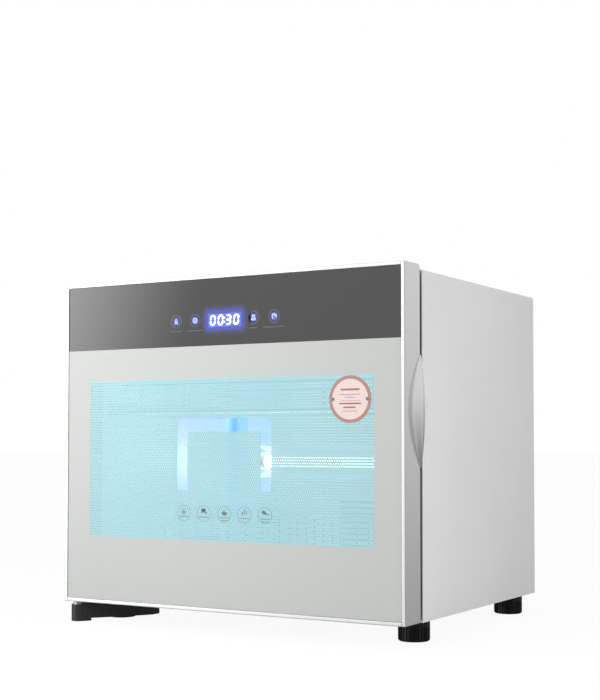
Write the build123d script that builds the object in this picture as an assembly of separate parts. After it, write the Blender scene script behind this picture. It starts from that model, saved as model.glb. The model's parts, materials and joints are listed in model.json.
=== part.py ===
from build123d import *
import math
import os

# A countertop dish sterilizer cabinet: a painted steel box with a stainless chamber, two wire racks, an
# ultraviolet lamp, a fan heater, and one glass door hinged on its left and pulled open on its right.
#
# Working frame, in mm: X to the right from the door's middle, Y to the back from the door's front face,
# Z up from the surface that the feet stand on. PLACE moves every piece to the part's own frame, whose
# origin is at the middle of the box round the whole object, on its lowest face.

# ------------------------------------------------------------------------------------- driving sizes
# Door
door_width = 450.0
door_height = 375.5
door_depth = 36.0
door_lift = 25.0             # door's lowest edge above the floor
rail_lip = 4.0               # solid outer wall of each rail: the bright lip round the glass
rail_width = 24.0
rail_web = 1.6
rail_corner_radius = 3.6
glass_thick = 4.0
glass_gap = 0.2              # between a pane and what frames it
panel_thick = 1.2
panel_overlap = 2.0          # how far the inner panel covers the inner pane's edge

# Grip, let into the right rail
grip_rise = 221.0            # its middle above the door's lowest edge
grip_half_height = 61.0
grip_width = 28.8
grip_taper = 1.83            # how its front edge curves away
grip_rear = 38.0
grip_proud = 7.0
grip_scoop = 2.5
grip_depth = 6.0
grip_clearance = 0.25

# Cabinet
seam = 6.0                   # between the door and the cabinet
cabinet_depth = 326.4
top_step = 4.3               # the cabinet's top lies this far below the door's
bottom_step = 0.5            # and its lowest edge this far below the door's
shell_thick = 1.0
shell_bend = 4.0
shell_flange = 12.0
pan_thick = 1.2
pan_flange = 14.0
frame_thick = 1.2
rear_recess = 2.5            # the rear panel sits this far inside the shell's rear edge
rear_thick = 1.2
screw_head = 1.8             # height of the rear screws' heads

# Chamber
side_space = 20.0            # between the chamber and the shell's outside
bottom_space = 22.5
top_space = 17.2
rear_space = 41.4
liner_thick = 0.8
liner_flange = 10.0
liner_corner = 15.0
support_inset = 25.0         # from the chamber's side walls
support_front = 83.0         # from the cabinet's front
support_rear = 42.0          # from the chamber's back wall
support_width = 24.0
support_wall = 1.5

# Hinge
pivot_inset = 12.0           # from the door's left side
pivot_depth = 12.0           # from the door's front
pin_radius = 4.0
running_clearance = 0.05
bush_radius = 5.5
bush_length = 14.0
hinge_play = 0.3             # between the pin's collar and the bush
bracket_top_gap = 2.5        # between the lower bracket and the door
boss_radius = 8.75
boss_lift = 1.0
boss_drop = 2.0              # the boss's top lies this far below the arm's
arm_lift = 4.0
arm_wall = 5.0
arm_plate = 3.0
plate_thick = 2.0
plate_radius = 7.0
recess_side = 55.0           # width of the notch for the upper plate
recess_floor = 0.6           # under the upper plate
block_height = 36.0

# Gasket
gasket_width = 8.0
gasket_inset = 1.0           # from the mouth's edge
soft_gap = 0.3

# Feet
foot_radius = 17.3
foot_inset = 27.0            # from the shell's side to a foot's middle
foot_front_inset = 34.0
foot_rear_inset = 22.4
foot_collar = 9.0            # height of the plain collar
foot_ribs = 28
foot_rib_depth = 1.0
foot_bore = 9.0
foot_bore_depth = 13.0
foot_screw_radius = 2.5
foot_head_height = 3.5
nut_height = 4.0
nut_radius = 4.6

# Racks and tray
wire_frame = 2.0             # radii
wire_thin = 1.3
wire_overrun = 0.7           # how far a wire runs past the middle of the wire that it is welded to
wire_sink = 0.9              # how deep a thin wire is welded into the frame
rack_side_gap = 5.5          # from the chamber's side wall to the frame wire's middle
rack_front_gap = 16.0        # from the cabinet's front
rack_lamp_gap = 9.0
rack_pitch = 21.0
rack_clearance = 0.3
upper_rise = 200.0           # top faces of the runner ledges above the chamber's floor
lower_rise = 25.0
basket_rise = 34.0
prong_rise = 48.0
prong_pitch = 24.0
prong_inset = 62.0           # from the rack's front and rear wires
runner_thick = 1.2
runner_height = 16.0
runner_ledge = 8.0
tray_side_gap = 15.0
tray_shift = 4.0             # how far it sits behind the racks
tray_height = 15.0
tray_thick = 1.0
tray_pull = 6.0

# Lamp
lamp_rise = 140.0            # above the chamber's floor
lamp_mouth = 45.0
lamp_back = 30.0
lamp_depth = 28.0
reflector_thick = 0.8
tube_radius = 8.0
tube_length = 288.0
tube_cap = 8.0
socket_height = 24.0
socket_width = 5.0

# Fan heater
fan_rise = 59.0              # above the chamber's floor
fan_size = 80.0
fan_thick = 20.0
fan_bore_radius = 38.3
fan_hole_pitch = 71.5
fan_blades = 7
blade_radius = 36.5
blade_pitch = 38.0           # degrees
hub_radius = 17.0
hub_wall = 1.5
stator_radius = 14.5
shaft_radius = 1.5
fan_screw_radius = 1.9
screw_gap = 0.2              # between a screw and the hole that it passes through
heater_margin = 2.0          # the heater is this much larger than the fan all round
heater_thick = 12.0
heater_window = 64.0
heater_fins = 15
fin_thick = 1.2
grille_margin = 14.0         # round the heater's window
grille_thick = 1.0
grille_slots = 9

# Controls in the door
controls_middle = 2.0
controls_half_width = 95.0
controls_height = 46.0
controls_rear = 30.0
controls_wall = 2.0
board_front = 12.0
board_thick = 1.6
display_middle = 2.6
display_width = 50.0
display_height = 20.0
keys_drop = 50.5             # from the door's top
key_offsets = (-63.7, -37.7, 40.4, 67.1)
key_pad_radius = 6.0
magnet_offset = 120.0        # from the door's middle
magnet_length = 20.0
magnet_height = 10.0
magnet_thick = 6.0

# Electrics behind the chamber
power_board_width = 120.0
power_board_height = 80.0
power_board_gap = 26.0       # beside the fan
power_board_rise = 13.0      # above the chamber's floor
standoff_height = 8.0
standoff_radius = 3.0
standoff_inset = 6.0
cutout_offset = 62.0
cutout_radius = 8.0
ballast_inset = 15.0         # from the chamber's side wall
ballast_length = 110.0
ballast_height = 28.0
ballast_depth = 24.0
gland_inset = 57.0           # from the shell's side
gland_rise = 37.5            # above the shell's lowest edge
gland_bore = 3.6
gland_body = 7.9
gland_flange = 11.0
gland_length = 15.0
gland_rim = 2.0
gland_nut_thick = 5.0
vent_length = 26.0
vent_width = 4.0
vent_step = 34.0             # between slots in a row
vent_pitch = 9.0             # between rows
intake_rows = 11
outlet_rows = 3

# ------------------------------------------------------------------------------------ derived places
half_width = door_width / 2
door_top = door_lift + door_height
cabinet_lift = door_lift - bottom_step
shell_top = door_top - top_step
inner_half = half_width - rail_lip
aperture_half = half_width - rail_width
seat_y = glass_thick + glass_gap
panel_y = door_depth - panel_thick
front_y = door_depth + seam
rear_y = front_y + cabinet_depth
shell_half = half_width - shell_thick
pan_top = cabinet_lift + pan_thick
mouth_half = half_width - side_space
mouth_bottom = cabinet_lift + bottom_space
mouth_top = shell_top - top_space
liner_front = front_y + frame_thick
wall_y = rear_y - rear_space
liner_back = wall_y + liner_thick
rear_panel_y = rear_y - rear_recess - rear_thick
pivot = (pivot_inset - half_width, pivot_depth)
recess_level = shell_top - recess_floor
fan_front = liner_back + heater_thick
fan_rear = fan_front + fan_thick
grip_level = door_lift + grip_rise
keys_level = door_top - keys_drop
rack_half_width = mouth_half - rack_side_gap
rack_front = front_y + rack_front_gap
rack_rear = wall_y - lamp_depth - rack_lamp_gap
upper_level = mouth_bottom + upper_rise
lower_level = mouth_bottom + lower_rise
tray_half_width = mouth_half - tray_side_gap
tray_y = (rack_front + tray_shift, rack_rear + tray_shift)
lamp_level = mouth_bottom + lamp_rise
lamp_length = tube_length + 2 * socket_width
fan_level = mouth_bottom + fan_rise
heater_size = fan_size + 2 * heater_margin
power_board_left = fan_size / 2 + power_board_gap
power_board_level = mouth_bottom + power_board_rise
gland_offset = gland_inset - half_width
gland_level = cabinet_lift + gland_rise
heater_holes = [(x, z) for x in (-fan_hole_pitch / 2, fan_hole_pitch / 2)
                for z in (-fan_hole_pitch / 2, fan_hole_pitch / 2)]
feet_places = {end + "_" + name: (side * (half_width - foot_inset), y)
               for end, y in (("front", front_y + foot_front_inset), ("rear", rear_y - foot_rear_inset))
               for name, side in (("left", -1), ("right", 1))}


# ------------------------------------------------------------------------------------------- helpers
def block(x, y, z):
    """A box from its two limits along each axis, given in either order."""
    spans = [(min(pair), max(pair)) for pair in (x, y, z)]
    middle = [(low + high) / 2 for low, high in spans]
    return Pos(*middle) * Box(*[high - low for low, high in spans])


def rod_x(x, y, z, radius):
    """A round bar along X between two limits."""
    return Pos((x[0] + x[1]) / 2, y, z) * Rot(0, 90, 0) * Cylinder(radius, abs(x[1] - x[0]))


def rod_y(x, y, z, radius):
    """A round bar along Y between two limits."""
    return Pos(x, (y[0] + y[1]) / 2, z) * Rot(90, 0, 0) * Cylinder(radius, abs(y[1] - y[0]))


def rod_z(x, y, z, radius):
    """A round bar along Z between two limits."""
    return Pos(x, y, (z[0] + z[1]) / 2) * Cylinder(radius, abs(z[1] - z[0]))


def ring(x, y, z, hole_x, hole_z):
    """A plate across Y with a rectangular hole right through."""
    return block(x, y, z) - block(hole_x, (y[0] - 1, y[1] + 1), hole_z)


def slot_y(x, y, z, length, width):
    """A cutter with round ends along X, which goes through between two limits along Y."""
    straight = (length - width) / 2
    ends = [rod_y(x + side * straight, y, z, width / 2) for side in (-1, 1)]
    return block((x - straight, x + straight), y, (z - width / 2, z + width / 2)) + ends


def prism_z(points, z):
    """A straight-sided solid from its outline on the floor plane, between two levels."""
    outline = Pos(0, 0, min(z)) * make_face(Polyline(*points, close=True))
    return extrude(outline, abs(z[1] - z[0]), dir=(0, 0, 1))


# ---------------------------------------------------------------------------------------------- door
def hinge_notch():
    """What is cut from the door's upper left corner, behind the pane, for the upper hinge plate."""
    return block((-half_width - 1, recess_side - half_width), (seat_y, door_depth + 1),
                 (recess_level, door_top + 1))


def side_rail(side):
    """An upright rail: a solid outer wall over the full height, and a tube that carries the panes."""
    outer = side * half_width
    lip = side * inner_half
    wall = block((outer, lip), (0, door_depth), (door_lift, door_top))
    wall = fillet([edge for edge in wall.edges().filter_by(Axis.X) if edge.center().Y > door_depth - 1],
                  rail_corner_radius)
    ends = (door_lift + rail_lip, door_top - rail_lip)
    tube = block((lip, side * aperture_half), (seat_y, panel_y), ends)
    hollow = block((lip, side * (aperture_half + rail_web)), (seat_y + rail_web, panel_y - rail_web), ends)
    return wall + (tube - hollow)


def door_rail_left():
    return side_rail(-1) - hinge_notch()


def door_rail_right():
    return side_rail(1) - grip_pocket()


def cross_rail(edge, inward):
    """A level rail between the uprights: a solid outer wall and a tube."""
    wall = block((-inner_half, inner_half), (0, door_depth), (edge, edge + inward * rail_lip))
    wall = fillet([line for line in wall.edges().filter_by(Axis.X)
                   if line.center().Y > door_depth - 1 and abs(line.center().Z - edge) < 0.1],
                  rail_corner_radius)
    reach = (edge + inward * rail_lip, edge + inward * rail_width)
    tube = block((-aperture_half, aperture_half), (seat_y, panel_y), reach)
    hollow = block((-aperture_half, aperture_half), (seat_y + rail_web, panel_y - rail_web),
                   (reach[0], reach[1] - inward * rail_web))
    return wall + (tube - hollow)


def door_rail_top():
    return cross_rail(door_top, -1) - hinge_notch()


def door_rail_bottom():
    return cross_rail(door_lift, 1) - rod_z(*pivot, (door_lift - 1, door_lift + rail_lip + 1), bush_radius)


def tube_block(side, z):
    """A block that fills a stretch of an upright's tube."""
    return block((side * inner_half, side * (aperture_half + rail_web)),
                 (seat_y + rail_web, panel_y - rail_web), z)


def hinge_block_upper():
    top = recess_level
    bore = rod_z(*pivot, (top - bush_length, top + 1), bush_radius)
    return tube_block(-1, (top - block_height, top)) - bore


def hinge_block_lower():
    bottom = door_lift + rail_lip
    bore = rod_z(*pivot, (bottom - 1, door_lift + bush_length), bush_radius)
    return tube_block(-1, (bottom, bottom + block_height)) - bore


def corner_blocks():
    upper = door_top - rail_lip
    lower = door_lift + rail_lip
    return [tube_block(1, (upper - block_height, upper)), tube_block(1, (lower, lower + block_height))]


def hinge_bush(z):
    bore = rod_z(*pivot, (z[0] - 1, z[1] + 1), pin_radius + running_clearance)
    return rod_z(*pivot, z, bush_radius) - bore


def hinge_bush_upper():
    return hinge_bush((recess_level - bush_length, recess_level))


def hinge_bush_lower():
    return hinge_bush((door_lift, door_lift + bush_length))


def front_glass():
    reach = inner_half - glass_gap
    return block((-reach, reach), (0, glass_thick),
                 (door_lift + rail_lip + glass_gap, door_top - rail_lip - glass_gap))


def inner_glass():
    reach = aperture_half - glass_gap
    return block((-reach, reach), (panel_y - glass_thick, panel_y),
                 (door_lift + rail_width + glass_gap, door_top - rail_width - glass_gap))


def inner_panel():
    hole = aperture_half - panel_overlap
    sheet = ring((-inner_half, inner_half), (panel_y, door_depth), (door_lift + rail_lip, door_top - rail_lip),
                 (-hole, hole), (door_lift + rail_width + panel_overlap, door_top - rail_width - panel_overlap))
    return sheet - hinge_notch() - grip_pocket()


def door_gasket():
    inner = mouth_half + gasket_inset
    outer = inner + gasket_width
    return ring((-outer, outer), (door_depth, front_y - soft_gap),
                (mouth_bottom - gasket_inset - gasket_width, mouth_top + gasket_inset + gasket_width),
                (-inner, inner), (mouth_bottom - gasket_inset, mouth_top + gasket_inset))


# ---------------------------------------------------------------------------------------------- grip
def grip_front(level):
    """Where the grip's front edge lies at a level measured from its middle."""
    reach = abs(level) / grip_half_height
    return grip_rear - grip_width * (1 - reach ** grip_taper)


def grip_outline(margin):
    """The grip's leaf outline on the rail's side, from tip to tip, widened by a margin."""
    steps = [-0.985, -0.8, -0.6, -0.4, -0.2, 0.0, 0.2, 0.4, 0.6, 0.8, 0.985]
    front = [(grip_front(step * grip_half_height) - margin, grip_level + step * (grip_half_height + margin))
             for step in steps]
    rear = grip_rear + margin
    return front, rear


def grip_pocket():
    """The leaf-shaped opening in the right rail's outer wall."""
    front, rear = grip_outline(grip_clearance)
    curve = Spline(*[(0, y, z) for y, z in front])
    corners = [(0, front[-1][0], front[-1][1]), (0, rear + 1, front[-1][1]),
               (0, rear + 1, front[0][1]), (0, front[0][0], front[0][1])]
    leaf = make_face([curve, Polyline(*corners)])
    start = half_width - grip_depth - grip_clearance
    return extrude(Pos(start, 0, 0) * leaf, half_width - start + 1, dir=(1, 0, 0))


def grip_section(reach):
    """A level section of the grip: scooped at its front, proud of the rail at its rear."""
    level = reach * grip_half_height
    front = grip_front(level)
    width = grip_rear - front
    swell = 1 - reach ** 2
    shape = ((1.0, 0.0), (0.78, -grip_scoop / grip_proud), (0.5, 0.12), (0.2, 1.0), (0.0, 0.5))
    points = [(half_width + swell * grip_proud * rise, grip_rear - width * back) for back, rise in shape]
    inside = half_width - grip_depth
    curve = Spline(*points)
    sides = Polyline(points[-1], (inside, grip_rear), (inside, front), points[0])
    return Pos(0, 0, grip_level + level) * make_face([curve, sides])


def handle_grip():
    steps = [-0.97, -0.85, -0.65, -0.35, 0.0, 0.35, 0.65, 0.85, 0.97]
    return loft([grip_section(step) for step in steps])


# ------------------------------------------------------------------------------------ door's controls
def controls_levels():
    """The control housing hangs from the top rail's underside."""
    top = door_top - rail_width
    return (top - controls_height, top)


def board_posts():
    levels = controls_levels()
    return [(controls_middle + side * (controls_half_width - 9), level)
            for side in (-1, 1) for level in (levels[0] + 8, levels[1] - 8)]


def control_housing():
    span = (controls_middle - controls_half_width, controls_middle + controls_half_width)
    levels = controls_levels()
    shell = block(span, (seat_y + 2, controls_rear), levels)
    hollow = block((span[0] + controls_wall, span[1] - controls_wall), (seat_y, controls_rear - controls_wall),
                   (levels[0] + controls_wall, levels[1] - controls_wall))
    posts = [rod_y(x, (board_front + board_thick, controls_rear - 1), z, 3) for x, z in board_posts()]
    return (shell - hollow) + posts


def control_board():
    levels = controls_levels()
    reach = controls_half_width - controls_wall - 1
    return block((controls_middle - reach, controls_middle + reach), (board_front, board_front + board_thick),
                 (levels[0] + controls_wall + 1, levels[1] - controls_wall - 1))


def display_module():
    return block((display_middle - display_width / 2, display_middle + display_width / 2),
                 (seat_y + 0.1, board_front),
                 (keys_level - display_height / 2, keys_level + display_height / 2))


def touch_pads():
    return [rod_y(offset, (glass_thick, board_front), keys_level, key_pad_radius) for offset in key_offsets]


def door_magnet():
    top = door_top - rail_lip
    rear = panel_y - rail_web
    return block((magnet_offset - magnet_length / 2, magnet_offset + magnet_length / 2),
                 (rear - magnet_thick, rear), (top - magnet_height, top))


# ------------------------------------------------------------------------------------------- cabinet
def outer_shell():
    span = (-half_width, half_width)
    body = block(span, (front_y, rear_y), (cabinet_lift, shell_top))
    body = fillet(body.edges().filter_by(Axis.Y).group_by(Axis.Z)[-1], shell_bend)
    hollow = block((-shell_half, shell_half), (front_y - 1, rear_y + 1), (cabinet_lift - 20, shell_top - shell_thick))
    hollow = fillet(hollow.edges().filter_by(Axis.Y).group_by(Axis.Z)[-1], shell_bend - shell_thick)
    edge = shell_half - shell_flange
    flange = ring((-shell_half, shell_half), (rear_panel_y - shell_thick, rear_panel_y),
                  (cabinet_lift + pan_flange + pan_thick, shell_top - shell_thick),
                  (-edge, edge), (cabinet_lift, shell_top - shell_thick - shell_flange))
    flange &= hollow
    shell = (body - hollow) + flange
    shell -= [rod_y(x, (rear_panel_y - 3, rear_panel_y + 1), z, 1.9) for x, z in rear_screw_places()]
    return shell - [rod_z(x, y, (shell_top - 3, shell_top + 1), 2.0) for x, y in upper_screw_places()]


def base_pan():
    span = (-shell_half, shell_half)
    depth = (liner_front, rear_panel_y - shell_thick)
    tray = block(span, depth, (cabinet_lift, pan_top + pan_flange))
    hollow = block((-shell_half + pan_thick, shell_half - pan_thick),
                   (depth[0] - 1, depth[1] - pan_thick), (pan_top, pan_top + pan_flange + 1))
    pan = tray - hollow
    pan -= [rod_z(x, y, (cabinet_lift - 1, pan_top + 1), foot_screw_radius + 0.1)
            for x, y in feet_places.values()]
    return pan - [rod_z(x, y, (cabinet_lift - 1, pan_top + 1), 2.0) for x, y in lower_screw_places()]


def front_frame():
    plate = ring((-shell_half, shell_half), (front_y, liner_front), (cabinet_lift, shell_top - shell_thick),
                 (-mouth_half, mouth_half), (mouth_bottom, mouth_top))
    corners = [edge for edge in plate.edges().filter_by(Axis.Y)
               if abs(edge.center().X) > mouth_half + 1 and edge.center().Z > mouth_top]
    return fillet(corners, shell_bend - shell_thick)


def rear_screw_places():
    inset = shell_half - shell_flange / 2
    levels = (cabinet_lift + 40, cabinet_lift + 180, shell_top - 40)
    sides = [(side * inset, level) for side in (-1, 1) for level in levels]
    return sides + [(x, shell_top - shell_thick - shell_flange / 2) for x in (-120, 120)]


def rear_panel():
    top = shell_top - shell_thick
    panel = block((-shell_half, shell_half), (rear_panel_y, rear_panel_y + rear_thick), (pan_top, top))
    panel = fillet(panel.edges().filter_by(Axis.Y).group_by(Axis.Z)[-1], shell_bend - shell_thick)
    through = (rear_panel_y - 1, rear_panel_y + rear_thick + 1)
    lowest = fan_level - vent_pitch * (intake_rows - 1) / 2
    intake = [slot_y(vent_step * column, through, lowest + vent_pitch * row, vent_length, vent_width)
              for row in range(intake_rows) for column in (-1, 0, 1)]
    outlet = [slot_y(vent_step * column, through, mouth_top - 29 + vent_pitch * row, vent_length, vent_width)
              for row in range(outlet_rows) for column in range(-4, 5)]
    screws = [rod_y(x, through, z, 2.1) for x, z in rear_screw_places()]
    return panel - intake - outlet - screws - rod_y(gland_offset, through, gland_level, gland_body)


def rear_screws():
    head_y = rear_panel_y + rear_thick
    return [rod_y(x, (head_y, head_y + screw_head), z, 3.6) + rod_y(x, (head_y - 9, head_y + 0.5), z, 1.9)
            for x, z in rear_screw_places()]


def liner():
    walls = block((-mouth_half - liner_thick, mouth_half + liner_thick), (liner_front, liner_back),
                  (mouth_bottom - liner_thick, mouth_top + liner_thick))
    walls = fillet([edge for edge in walls.edges().filter_by(Axis.Z) if edge.center().Y > wall_y],
                   liner_corner + liner_thick)
    cavity = block((-mouth_half, mouth_half), (liner_front - 1, wall_y), (mouth_bottom, mouth_top))
    cavity = fillet([edge for edge in cavity.edges().filter_by(Axis.Z) if edge.center().Y > wall_y - 1],
                    liner_corner)
    reach = mouth_half + liner_flange
    flange = ring((-reach, reach), (liner_front, liner_front + liner_thick),
                  (mouth_bottom - liner_flange, mouth_top + liner_flange),
                  (-mouth_half, mouth_half), (mouth_bottom, mouth_top))
    through = (wall_y - 1, liner_back + 1)
    outlet = block((-heater_window / 2, heater_window / 2), through,
                   (fan_level - heater_window / 2, fan_level + heater_window / 2))
    steam = [slot_y(vent_step * column, through, mouth_top - 20, vent_length, vent_width)
             for column in range(-4, 5)]
    return (walls + flange) - cavity - outlet - steam


def liner_supports():
    """Two hat sections that carry the chamber on the base pan."""
    supports = []
    reach = mouth_half - support_inset
    for y in (front_y + support_front, wall_y - support_rear):
        bar = block((-reach, reach), (y, y + support_width), (pan_top, mouth_bottom - liner_thick))
        inside = block((-reach - 1, reach + 1), (y + support_wall, y + support_width - support_wall),
                       (pan_top - 1, mouth_bottom - liner_thick - support_wall))
        supports.append(bar - inside)
    return supports


# --------------------------------------------------------------------------------------------- hinge
def upper_screw_places():
    return [(pivot[0] + 26, front_y + 14), (pivot[0] + 44, front_y + 14)]


def lower_screw_places():
    return [(pivot[0] + 44.5, pivot[1] + 65), (pivot[0] + 44.5, pivot[1] + 76)]


def upper_hinge_bracket():
    """A flat plate on the cabinet's top that reaches forward over the seam to the pivot."""
    z = (shell_top, shell_top + plate_thick)
    px, py = pivot
    step = plate_radius / math.sqrt(2)
    reach = front_y + 3 - py
    arm = prism_z([(px - step, py + step), (px + step, py - step),
                   (px + step + reach, py - step + reach), (px - step + reach, py + step + reach)], z)
    foot = block((px + 16, px + 54), (front_y + 1, front_y + 26), z)
    plate = rod_z(px, py, z, plate_radius) + arm + foot
    plate -= rod_z(px, py, (z[0] - 1, z[1] + 1), pin_radius)
    return plate - [rod_z(x, y, (z[0] - 1, z[1] + 1), 2.1) for x, y in upper_screw_places()]


def upper_hinge_pin():
    return rod_z(*pivot, (recess_level - bush_length + 2, shell_top + plate_thick), pin_radius)


def lower_hinge_bracket():
    """A cast arm under the door's left corner, screwed to the base pan beside the front foot."""
    top = door_lift - bracket_top_gap
    low = top - arm_plate
    px, py = pivot
    front = [(px + 9, py - 4), (px + 15, py + 8), (px + 36, py + 33), (px + 58, py + 68), (px + 58, py + 82)]
    inner = [(px + 58 - arm_wall, py + 82), (px + 58 - arm_wall, py + 69), (px + 32, py + 36),
             (px + 9, py + 11), (px - 4, py + 4)]
    side = [(px + 37, py + 82), (px + 34, py + 44)]
    wall = prism_z(front + inner, (arm_lift, top))
    plate = prism_z(front + side + [(px - 6, py + 44), (px - 8, py)], (low, top))
    pad = prism_z([(px + 35.5, liner_front + 1)] + front[3:] + side
                  + [(px - 6, py + 44), (px - 6, liner_front + 1)], (top - 1, cabinet_lift))
    seat = top - boss_drop
    boss = rod_z(px, py, (boss_lift, seat), boss_radius)
    toe = prism_z([(px, py - boss_radius), (px + 9, py - 4), (px + 14, py + 6), (px + 9, py + 11), (px - 4, py + 4)],
                  (boss_lift, arm_lift + 1))
    bracket = boss + wall + plate + pad + toe - rod_z(px, py, (seat, top + 1), boss_radius)
    bracket -= rod_z(px, py, (seat - 12, seat + 1), pin_radius)
    return bracket - [rod_z(x, y, (arm_lift - 1, cabinet_lift + 1), 2.1) + rod_z(x, y, (arm_lift - 1, low), 4.2)
                      for x, y in lower_screw_places()]


def lower_hinge_pin():
    seat = door_lift - bracket_top_gap - boss_drop
    collar = rod_z(*pivot, (seat, door_lift - hinge_play), bush_radius + 1)
    return rod_z(*pivot, (seat - 12, door_lift + bush_length - 1), pin_radius) + collar


def hinge_screws():
    top = shell_top + plate_thick
    low = door_lift - bracket_top_gap - arm_plate
    upper = [rod_z(x, y, (top, top + 1.6), 3.8) + rod_z(x, y, (shell_top - 7, top + 0.5), 2.0)
             for x, y in upper_screw_places()]
    lower = [rod_z(x, y, (low - 2.2, low), 3.8) + rod_z(x, y, (low - 1, pan_top + 4), 2.0)
             for x, y in lower_screw_places()]
    return upper + lower


# ---------------------------------------------------------------------------------------------- feet
def foot():
    """A moulded foot: a plain collar over a ribbed skirt, with a bore from below for its screw."""
    body = rod_z(0, 0, (0, cabinet_lift), foot_radius)
    body = chamfer(body.edges().group_by(Axis.Z)[0], 1.5)
    skirt = cabinet_lift - foot_collar
    groove = math.pi * foot_radius / foot_ribs
    grooves = []
    for number in range(foot_ribs):
        cutter = block((foot_radius - foot_rib_depth, foot_radius + 1), (-groove / 2, groove / 2), (-1, skirt))
        grooves.append(Rot(0, 0, number * 360 / foot_ribs) * cutter)
    body -= grooves
    body -= rod_z(0, 0, (-1, foot_bore_depth), foot_bore / 2 + 0.6)
    return body - rod_z(0, 0, (0, cabinet_lift + 1), foot_screw_radius + 0.1)


def foot_fasteners():
    """A screw up through each foot and the base pan, with a nut on top of the pan."""
    pieces = []
    for x, y in feet_places.values():
        head = rod_z(x, y, (foot_bore_depth - foot_head_height, foot_bore_depth), foot_bore / 2)
        pieces.append(head + rod_z(x, y, (foot_bore_depth - 1, pan_top + 6), foot_screw_radius))
        corners = [math.radians(60 * number) for number in range(6)]
        nut = prism_z([(x + nut_radius * math.cos(turn), y + nut_radius * math.sin(turn)) for turn in corners],
                      (pan_top, pan_top + nut_height))
        pieces.append(nut - rod_z(x, y, (pan_top - 1, pan_top + 5), foot_screw_radius))
    return pieces


# ---------------------------------------------------------------------------------- racks and runners
def runner(side, level):
    """An angle on the chamber's side wall whose ledge carries a rack."""
    wall = side * mouth_half
    upright = block((wall, wall - side * runner_thick), (rack_front, rack_rear + 8),
                    (level - runner_thick, level - runner_thick + runner_height))
    ledge = block((wall, wall - side * runner_ledge), (rack_front, rack_rear + 8),
                  (level - runner_thick, level))
    stop = block((wall, wall - side * runner_ledge), (rack_rear + 8 - runner_thick, rack_rear + 8),
                 (level - runner_thick, level + 6))
    return upright + ledge + stop


def rack_grid(level):
    """The rack's level frame and its bars from front to back, as separate rods."""
    half = rack_half_width
    z = level + rack_clearance + wire_frame
    ends = (rack_front + wire_frame, rack_rear - wire_frame)
    rods = [rod_y(side * half, (ends[0] - wire_overrun, ends[1] + wire_overrun), z, wire_frame)
            for side in (-1, 1)]
    rods += [rod_x((-half - wire_overrun, half + wire_overrun), y, z, wire_frame) for y in ends]
    count = int(2 * (half - 8) // rack_pitch)
    start = -count * rack_pitch / 2
    thin_z = z + wire_frame + wire_thin - wire_sink
    rods += [rod_y(start + rack_pitch * number, (ends[0] - wire_overrun, ends[1] + wire_overrun),
                   thin_z, wire_thin) for number in range(count + 1)]
    return rods, z


def upper_rack():
    """A shallow basket for bowls and cups: its floor, two sides and two ends, which meet face to face."""
    rods, z = rack_grid(upper_level)
    rim = z + basket_rise
    half = rack_half_width
    ends = (rack_front + wire_frame, rack_rear - wire_frame)
    middle = (ends[0] + ends[1]) / 2
    rods += [rod_y(side * half, (ends[0] - wire_overrun, ends[1] + wire_overrun), rim, wire_frame)
             for side in (-1, 1)]
    rods += [rod_x((-half - wire_overrun, half + wire_overrun), y, rim, wire_frame) for y in ends]
    posts = [(side * half, y) for side in (-1, 1)
             for y in (ends[0] + rack_pitch, middle + rack_pitch / 4, ends[1] - rack_pitch)]
    posts += [((number + 0.5) * rack_pitch, y) for number in (-8, -5, -2, 1, 4, 7) for y in ends]
    rods += [rod_z(x, y, (z, rim), wire_thin) for x, y in posts]
    basket = rods[0].fuse(*rods[1:])
    inside = half - wire_frame - 1
    outside = half + 2 * wire_frame
    floor_top = z + 2 * wire_frame
    tall = (floor_top, rim + 2 * wire_frame)
    long = (rack_front - wire_frame, rack_rear + wire_frame)
    zones = [block((-outside, outside), long, (z - 2 * wire_frame, floor_top))]
    zones += [block((side * inside, side * outside), long, tall) for side in (-1, 1)]
    zones += [block((-inside, inside), (middle, y), tall) for y in long]
    return [basket & zone for zone in zones]


def lower_rack():
    """A flat rack with two rows of prongs that hold plates upright."""
    rods, z = rack_grid(lower_level)
    ends = (rack_front + wire_frame, rack_rear - wire_frame)
    rows = (ends[0] + prong_inset, ends[1] - prong_inset)
    reach = rack_half_width + wire_overrun
    rods += [rod_x((-reach, reach), y, z, wire_frame) for y in rows]
    count = int(2 * (rack_half_width - 20) // prong_pitch)
    start = -count * prong_pitch / 2
    rods += [rod_z(start + prong_pitch * number, y, (z - wire_overrun, z + prong_rise), wire_thin)
             for y in rows for number in range(count + 1)]
    return rods[0].fuse(*rods[1:])


def drip_tray():
    low = mouth_bottom + rack_clearance
    body = block((-tray_half_width, tray_half_width), tray_y, (low, low + tray_height))
    hollow = block((-tray_half_width + tray_thick, tray_half_width - tray_thick),
                   (tray_y[0] + tray_thick, tray_y[1] - tray_thick),
                   (low + tray_thick, low + tray_height + 1))
    pull = block((-40, 40), (tray_y[0] - tray_pull, tray_y[0] + 0.5), (low + tray_height - 1.5, low + tray_height))
    return (body - hollow) + pull


# ---------------------------------------------------------------------------------------------- lamp
def trough(half, back, mouth, y):
    """A flared prism along X, narrow at its back and wide at its mouth."""
    points = [(0, y[1], lamp_level - back), (0, y[1], lamp_level + back),
              (0, y[0], lamp_level + mouth), (0, y[0], lamp_level - mouth)]
    outline = Pos(-half, 0, 0) * make_face(Polyline(*points, close=True))
    return extrude(outline, 2 * half, dir=(1, 0, 0))


def lamp_reflector():
    front = wall_y - lamp_depth
    outer = trough(lamp_length / 2, lamp_back / 2, lamp_mouth / 2, (front, wall_y))
    inner = trough(lamp_length / 2 + 1, lamp_back / 2 - reflector_thick, lamp_mouth / 2 - reflector_thick,
                   (front - 1, wall_y - reflector_thick))
    return outer - inner


def tube_y():
    return wall_y - lamp_depth / 2 - 2


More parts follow.
